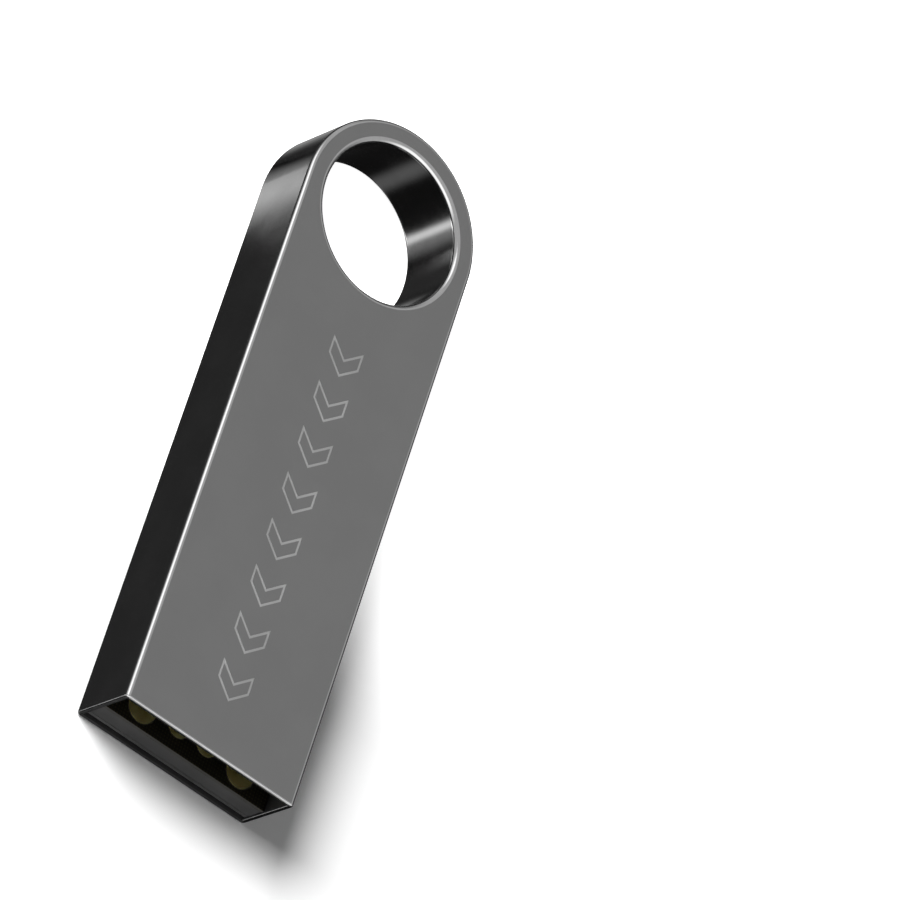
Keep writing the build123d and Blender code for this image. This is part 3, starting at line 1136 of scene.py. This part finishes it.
@dataclass
class BoardDetail:
    """Raised details on the board's lacquer: lit streaks on the wide routes, and a toothed bar.

    Lengths are in millimetres.
    """

    lift: float = 0.003
    streak_height: float = 0.010
    streak_width: float = 0.22
    streak_steps: int = 12
    streak_taper: float = 0.15
    teeth: int = 11
    tooth_pitch: float = 0.26
    tooth_width: float = 0.15
    bar_width: float = 0.16
    tooth_height: float = 0.20
    bar_thickness: float = 0.015
    bar_rounding: float = 0.004
    bar_centre_y: float = 0.20
    bar_gap: float = 0.95

    def build(self) -> list[bpy.types.Object]:
        """Model the details.

        Returns:
            The finished pieces.
        """
        return [self._streaks(), self._bar()]

    @property
    def surface(self) -> float:
        """Height of the raised routes' top, in metres."""
        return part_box("top_solder_mask")[1].z

    def _route_runs(self) -> list[tuple[Vector, Vector]]:
        """Find the longest straight run of each wide copper route, from the routes' own shape.

        Returns:
            Both ends of each run in metres.
        """
        sheet = bmesh.new()
        sheet.from_mesh(bpy.data.objects["power_traces"].data)
        bmesh.ops.remove_doubles(sheet, verts=sheet.verts, dist=MERGE)
        left, runs = set(sheet.verts), []
        while left:
            island, front = set(), [min(left, key=lambda vertex: tuple(vertex.co))]
            while front:
                vertex = front.pop()
                if vertex not in island:
                    island.add(vertex)
                    front.extend(edge.other_vert(vertex) for edge in vertex.link_edges)
            left -= island
            edges = {edge for vertex in island for edge in vertex.link_edges}
            longest = max(edges, key=lambda edge: round(edge.calc_length(), 7))
            runs.append(tuple(self._middle_near(vertex.co, island) for vertex in longest.verts))
        sheet.free()
        return sorted(runs, key=lambda run: tuple(run[0]))

    def _middle_near(self, place: Vector, island: set[bmesh.types.BMVert]) -> Vector:
        """Find the middle of a route's corners near a place.

        Args:
            place: A corner of the route.
            island: All corners of the route.

        Returns:
            The middle of those within a streak's width of the place.
        """
        near = [vertex.co for vertex in island if (vertex.co - place).xy.length < self.streak_width * MM]
        low = Vector(min(corner[axis] for corner in near) for axis in range(3))
        high = Vector(max(corner[axis] for corner in near) for axis in range(3))
        return (low + high) / 2

    def _streaks(self) -> bpy.types.Object:
        """Model thin tapered strips, each with its own map from end to end and side to side.

        Returns:
            The strips as one piece.
        """
        strips = [self._strip(*run) for run in self._route_runs()]
        streaks = join(strips, "painted_highlight_streaks")
        streaks.data.materials.clear()
        # The strips glow, a painted highlight along the wide routes.
        streaks.data.materials.append(StreakGlow("lit_streak").material())
        smooth_shade(streaks, 50.0)
        return streaks

    def _strip(self, start: Vector, end: Vector) -> bpy.types.Object:
        """Model one tapered strip.

        Args:
            start: Where its route starts.
            end: Where its route ends.

        Returns:
            The strip.
        """
        run = (end - start).xy
        middle = (start.xy + end.xy) / 2
        deselect_all()
        bpy.ops.mesh.primitive_grid_add(x_subdivisions=self.streak_steps, y_subdivisions=2, size=1)
        strip = bpy.context.object
        strip.name = "streak"
        strip.data.uv_layers[0].name = "lie"
        strip.scale = (run.length, self.streak_width * MM, 1)
        settle(strip)
        bpy.ops.object.mode_set(mode="EDIT")
        bpy.ops.mesh.select_all(action="SELECT")
        rise = (0, 0, self.streak_height * MM)
        bpy.ops.mesh.extrude_region_move(TRANSFORM_OT_translate={"value": rise})
        sheet = bmesh.from_edit_mesh(strip.data)
        for vertex in sheet.verts:
            reach = abs(vertex.co.x) / (run.length / 2)
            vertex.co.y *= self.streak_taper + (1 - self.streak_taper) * (1 - reach**2)
            vertex.co.z *= 1 - 0.8 * reach**2
        bmesh.update_edit_mesh(strip.data)
        bpy.ops.mesh.select_all(action="SELECT")
        bpy.ops.mesh.normals_make_consistent(inside=False)
        bpy.ops.object.mode_set(mode="OBJECT")
        strip.rotation_euler.z = math.atan2(run.y, run.x)
        strip.location = (middle.x, middle.y, self.surface + self.lift * MM)
        return settle(strip)

    def _bar(self) -> bpy.types.Object:
        """Model the printed black bar with its row of teeth towards the contacts.

        Returns:
            The bar.
        """
        length = self.teeth * self.tooth_pitch * MM
        start_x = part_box("contact_d_plus")[1].x + self.bar_gap * MM
        low = Vector((start_x, self.bar_centre_y * MM - length / 2, self.surface + self.lift * MM))
        high = low + Vector((self.bar_width * MM, length, self.bar_thickness * MM))
        bar = add_block("toothed_bar", low, high)
        bpy.ops.object.mode_set(mode="EDIT")
        for tooth in range(self.teeth):
            for side in (-1, 1):
                place = low.y + ((tooth + 0.5) * self.tooth_pitch + side * self.tooth_width / 2) * MM
                bpy.ops.mesh.select_all(action="SELECT")
                bpy.ops.mesh.bisect(plane_co=(0, place, 0), plane_no=(0, 1, 0), threshold=MERGE)
        select_faces(bar, lambda face: face.normal.x < -0.9 and self._is_tooth(face, low.y))
        growth = (-self.tooth_height * MM, 0, 0)
        bpy.ops.mesh.extrude_region_move(TRANSFORM_OT_translate={"value": growth})
        bpy.ops.object.mode_set(mode="OBJECT")
        bar.data.materials.append(Moulded("printed_black", (0.003,) * 3, (0.010,) * 3, 0.40).material())
        take(bar)
        modifier = bar.modifiers.new("soft_edges", "BEVEL")
        modifier.width = self.bar_rounding * MM
        modifier.segments = 2
        bpy.ops.object.modifier_apply(modifier=modifier.name)
        smooth_shade(bar)
        return bar

    def _is_tooth(self, face: bmesh.types.BMFace, start: float) -> bool:
        """Tell the faces that teeth grow from.

        Args:
            face: A face of the bar's side towards the contacts.
            start: Where the bar starts across the board, in metres.

        Returns:
            Whether the face is one of them.
        """
        share = ((face.calc_center_median().y - start) / (self.tooth_pitch * MM)) % 1.0
        return abs(share - 0.5) < self.tooth_width / self.tooth_pitch / 2


# ---- Dressing of the parts that keep their shape ------------------------------------------------


@dataclass
class PartDresser:
    """Gives every part that keeps its own shape a finish. Lengths are in millimetres."""

    route_edge: float = 0.006
    blocks_per_row: int = 4
    cap_share: float = 0.5

    def finishes(self) -> dict[str, bpy.types.Material]:
        """Make each finish once.

        Returns:
            Part name to its material.
        """
        board_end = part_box("top_solder_mask")[1]
        contacts = ("contact_vbus", "contact_d_minus", "contact_d_plus", "contact_ground")
        dies = ("nand_die_lower", "nand_die_upper", "controller_die")
        glues = ("die_attach_lower", "die_attach_upper", "die_attach_controller")
        gold = GoldPlate("hard_gold").material()
        warm_gold = GoldPlate("soft_gold", (0.90, 0.42, 0.05), (1.00, 0.66, 0.16)).material()
        copper = Metal("bare_copper", (0.70, 0.33, 0.19), (0.86, 0.49, 0.33), 0.28, 0.40).material()
        die = DieFace("die_silicon").material()
        glue = Moulded("die_glue", (0.32, 0.24, 0.12), (0.46, 0.36, 0.20), 0.50).material()
        wire = Metal(
            "gold_wire", (0.85, 0.62, 0.25), (0.98, 0.80, 0.42), 0.22, 0.30, (0.02,) * 3, 0.0004
        ).material()
        film = Moulded("clear_glue", (0.42, 0.40, 0.34), (0.55, 0.53, 0.46), 0.35).material()
        under = Moulded("under_lacquer", (0.012, 0.011, 0.008), (0.03, 0.027, 0.02), 0.3).material()
        resin = Moulded("moulding_resin", (0.052,) * 3, (0.076,) * 3, 0.48, 0.05, 0.004).material()
        lacquer = Lacquer(
            "board_lacquer",
            far_end=board_end.x / MM,
            route_height=board_end.z / MM - self.route_edge,
            dots_end=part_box("contact_vbus")[1].x / MM,
        )
        named = {
            "carrier_tray": Moulded("dark_plastic", (0.062,) * 3, (0.088,) * 3, 0.42).material(),
            "adhesive_film": film,
            "substrate_laminate": SawnEdge("sawn_board").material(),
            "top_solder_mask": lacquer.material(),
            "bottom_solder_mask": under,
            "signal_traces": copper,
            "power_traces": copper,
            "plated_vias": copper,
            "memory_bond_fingers": gold,
            "controller_bond_fingers": gold,
            "passive_lands": gold,
            "memory_bond_wires": wire,
            "controller_bond_wires": wire,
            "moulding_compound": resin,
        }
        named.update({name: gold for name in contacts})
        named.update({name: warm_gold for name in ("test_pad_1", "test_pad_2")})
        named.update({name: die for name in dies})
        named.update({name: glue for name in glues})
        named.update(self._blocks("capacitor", (0.42, 0.30, 0.18), (0.56, 0.42, 0.28)))
        named.update(self._blocks("resistor", (0.010, 0.010, 0.012), (0.035, 0.035, 0.040)))
        return named

    def _blocks(self, kind: str, dark: Colour, light: Colour) -> dict[str, bpy.types.Material]:
        """One capped finish for a row of blocks, which all stand at one place along the board.

        Args:
            kind: capacitor or resistor.
            dark: Darker body colour.
            light: Lighter body colour.

        Returns:
            Part name to its material.
        """
        low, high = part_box(f"{kind}_1")
        half = (high.x - low.x) / 2 / MM
        middle = (high.x + low.x) / 2 / MM
        material = CappedBlock(f"{kind}_ceramic", dark, light, middle, half * self.cap_share).material()
        return {f"{kind}_{number}": material for number in range(1, self.blocks_per_row + 1)}

    def dress(self) -> None:
        """Assign the finishes."""
        for name, material in self.finishes().items():
            materials = bpy.data.objects[name].data.materials
            if len(materials) == 0:
                materials.append(material)
            for slot in range(len(materials)):
                materials[slot] = material
            LOG.info("dressed %s in %s", name, material.name)


# ---- Studio -------------------------------------------------------------------------------------


@dataclass(frozen=True)
class SoftCard:
    """Upright soft light card round about, which only polished metal mirrors. Angles are in degrees."""

    turn: float
    half: float
    soft: float
    radiance: float
    foot: tuple[float, float] | None = None
    head: tuple[float, float] | None = None

    def light(self, turn: Value, height: Value) -> Value:
        """Work out the card's light from one direction.

        Args:
            turn: Compass turn of the direction.
            height: Its height above the horizon.

        Returns:
            The light.
        """
        away = abs(((turn - self.turn + 180.0) / 360.0).fraction() * 360.0 - 180.0)
        light = away.step(self.half + self.soft, self.half - self.soft) * self.radiance
        for rim in (self.foot, self.head):
            if rim is not None:
                light = light * height.step(*rim)
        return light


@dataclass
class Studio:
    """Pale floor, soft key light, surrounding soft light and the camera.

    Places and sizes are in metres, angles in degrees, and the places of glows and fades in millimetres.
    """

    floor_side: float = 3.0
    floor_drop: float = 0.00002
    floor_glow: float = 0.9
    painted_glow_span: tuple[float, float] = (-12.0, 2.0)
    camera_place: Place = (-0.21309, 0.19297, 0.32896)
    camera_right: Place = (0.2723, -0.7253, 0.6322)
    camera_up: Place = (0.8253, 0.5139, 0.2341)
    lens: float = 320.0
    key_turn: float = 70.0
    key_height: float = 36.0
    key_softness: float = 38.0
    key_strength: float = 7.0
    dome_strength: float = 0.20
    band_middle: Place = (0.02437, 0.01509, -0.0140)
    panel_size: tuple[float, float] = (0.0090, 0.0090)
    panel_shift: float = 0.0030
    panel_turn: float = 42.0
    panel_glow: float = 2.1
    panel_rise: tuple[float, float] = (-1.4, 0.1)
    panel_fall: tuple[float, float] = (1.3, -0.2)
    panel_tail: tuple[float, float] = (7.0, 1.2)
    tail_share: float = 0.24
    horizon: tuple[float, float] = (-2.0, 3.0)
    low_light: float = 0.015
    low_cards: tuple[SoftCard, ...] = (
        SoftCard(36, 26, 14, 0.04),
        SoftCard(108, 5, 4, 2.0),
        SoftCard(98, 13, 12, 0.45),
        SoftCard(197, 12, 9, 0.25),
        SoftCard(332, 20, 16, 0.40),
    )
    high_light: float = 0.55
    high_cards: tuple[SoftCard, ...] = (
        SoftCard(180, 58, 16, 1.1, foot=(4.0, 12.0), head=(62.0, 48.0)),
        SoftCard(48, 16, 8, 1.3, foot=(18.0, 26.0), head=(60.0, 52.0)),
    )
    shade: SoftCard = SoftCard(318, 40, 14, 0.8, head=(38.0, 12.0))

    def build(self) -> None:
        """Make the floor, the lights and the camera."""
        self._floor()
        self._key_light()
        self._side_panel()
        self._surroundings()
        self._camera()
        bpy.context.scene.view_settings.view_transform = "Standard"

    def _floor(self) -> None:
        """Add the large pale floor. Polished metal doesn't mirror it, so that its walls stay dark."""
        deselect_all()
        bpy.ops.mesh.primitive_plane_add(size=self.floor_side, location=(0, 0, -self.floor_drop))
        floor = settle(bpy.context.object)
        floor.name = "studio_floor"
        material, graph = new_material("pale_floor")
        x, _, _ = graph.place()
        grain = graph.noise((6.0, 6.0, 6.0), 2.0, 0.5)
        # Painted light: the floor glows more towards the ring end, which hides the drive's shadow there.
        painted_glow_share = x.step(*self.painted_glow_span)
        graph.surface(
            {"Roughness": 0.9, "Specular IOR Level": 0.0, "Emission Strength": 1.0},
            {
                "Base Color": graph.blend(grain, (0.86,) * 3, (0.88,) * 3),
                "Emission Color": graph.blend(painted_glow_share, (0.0,) * 3, (self.floor_glow,) * 3),
            },
        )
        floor.data.materials.append(material)
        floor.visible_glossy = False
        floor.visible_shadow = False

    def _key_light(self) -> None:
        """Add the soft key light, which comes from beside the ring."""
        deselect_all()
        bpy.ops.object.light_add(type="SUN", location=(0.2, 0.2, 0.4))
        key = bpy.context.object
        key.name = "key_light"
        key.visible_glossy = False
        key.data.energy = self.key_strength
        key.data.angle = math.radians(self.key_softness)
        turn, height = math.radians(self.key_turn), math.radians(self.key_height)
        towards = Vector(
            (math.cos(turn) * math.cos(height), math.sin(turn) * math.cos(height), math.sin(height))
        )
        key.rotation_mode = "QUATERNION"
        key.rotation_quaternion = towards.to_track_quat("Z", "Y")

    def _side_panel(self) -> None:
        """Add a small panel below the floor for polished walls to mirror, brightest along one line."""
        turn = math.radians(self.panel_turn)
        across = Vector((math.sin(turn), -math.cos(turn), 0))
        band = Vector(self.band_middle)
        deselect_all()
        bpy.ops.mesh.primitive_plane_add(size=1, location=(0, 0, 0))
        panel = bpy.context.object
        panel.name = "side_panel"
        panel.scale = (*self.panel_size, 1)
        panel.rotation_euler.z = turn
        panel.location = band + across * self.panel_shift
        settle(panel)
        material, graph = new_material("panel_glow")
        x, y, _ = graph.place()
        past = (x - band.x / MM) * across.x + (y - band.y / MM) * across.y
        fall = (1 - self.tail_share) * past.step(*self.panel_fall)
        tail = self.tail_share * past.step(*self.panel_tail)
        glow = past.step(*self.panel_rise) * (fall + tail)
        graph.surface(
            {"Base Color": (0.0,) * 3, "Specular IOR Level": 0.0, "Emission Strength": self.panel_glow},
            {"Emission Color": graph.blend(glow, (0.0,) * 3, (1.0,) * 3)},
        )
        panel.data.materials.append(material)

    def _surroundings(self) -> None:
        """Make a white backdrop for the camera, and soft light from round about for everything else."""
        world = bpy.data.worlds.new("soft_surroundings")
        bpy.context.scene.world = world
        world.use_nodes = True
        world.cycles.sampling_method = "NONE"
        graph = Graph(world.node_tree)
        direction = graph.node("ShaderNodeTexCoord").outputs["Generated"]
        split = graph.node("ShaderNodeSeparateXYZ", None, {0: direction})
        x, y, z = (graph.value(split.outputs[axis]) for axis in "XYZ")
        turn = graph.maths("ARCTAN2", y, x) * (180 / math.pi)
        height = graph.maths("ARCSINE", z) * (180 / math.pi)
        below = sum((card.light(turn, height) for card in self.low_cards), self.low_light)
        dimmed = self.high_light * (1 - self.shade.light(turn, height))
        above = sum((card.light(turn, height) for card in self.high_cards), dimmed)
        raised = height.step(*self.horizon)
        path = graph.node("ShaderNodeLightPath")
        seen, mirrored = (graph.value(path.outputs[name]) for name in ("Is Camera Ray", "Is Glossy Ray"))
        dome = raised * self.dome_strength
        light = dome + (below + (above - below) * raised - dome) * mirrored
        strength = light + (1.0 - light) * seen
        lit = {"Color": (1.0,) * 3, "Strength": strength}
        background = graph.node("ShaderNodeBackground", None, lit)
        graph.node("ShaderNodeOutputWorld", None, {"Surface": background.outputs[0]})

    def _camera(self) -> None:
        """Add a long lens that looks down on the upper face from beside the mouth."""
        deselect_all()
        bpy.ops.object.camera_add()
        camera = bpy.context.object
        camera.name = "camera"
        right = Vector(self.camera_right).normalized()
        up = Vector(self.camera_up)
        up = (up - up.dot(right) * right).normalized()
        back = right.cross(up)
        turn = Matrix((right, up, back)).transposed().to_4x4()
        camera.matrix_world = Matrix.Translation(self.camera_place) @ turn
        camera.data.lens = self.lens
        camera.data.sensor_width = 36.0
        camera.data.clip_start = 0.01
        camera.data.clip_end = 10.0
        camera.data.dof.use_dof = False
        bpy.context.scene.camera = camera


# ---- Putting it together ------------------------------------------------------------------------


def attach(piece: bpy.types.Object, body: str, replaced: Sequence[str] = ()) -> None:
    """Let a finished piece move with a body, and hide the parts that it stands for.

    Args:
        piece: The piece.
        body: Name of the body.
        replaced: Names of the parts that it stands for.
    """
    if replaced:
        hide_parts(*replaced)
    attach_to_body(piece, body)
    LOG.info("%s: %d faces, rides on %s", piece.name, len(piece.data.polygons), body)


def main() -> None:
    """Build every piece in order."""
    logging.basicConfig(level=logging.INFO, format="%(name)s: %(message)s")
    attach(MetalShell().build(), "case", ["case_shell"])
    streaks, bar = BoardDetail().build()
    attach(streaks, "module")
    attach(bar, "module")
    PartDresser().dress()
    Studio().build()


if __name__ == "__main__":
    main()
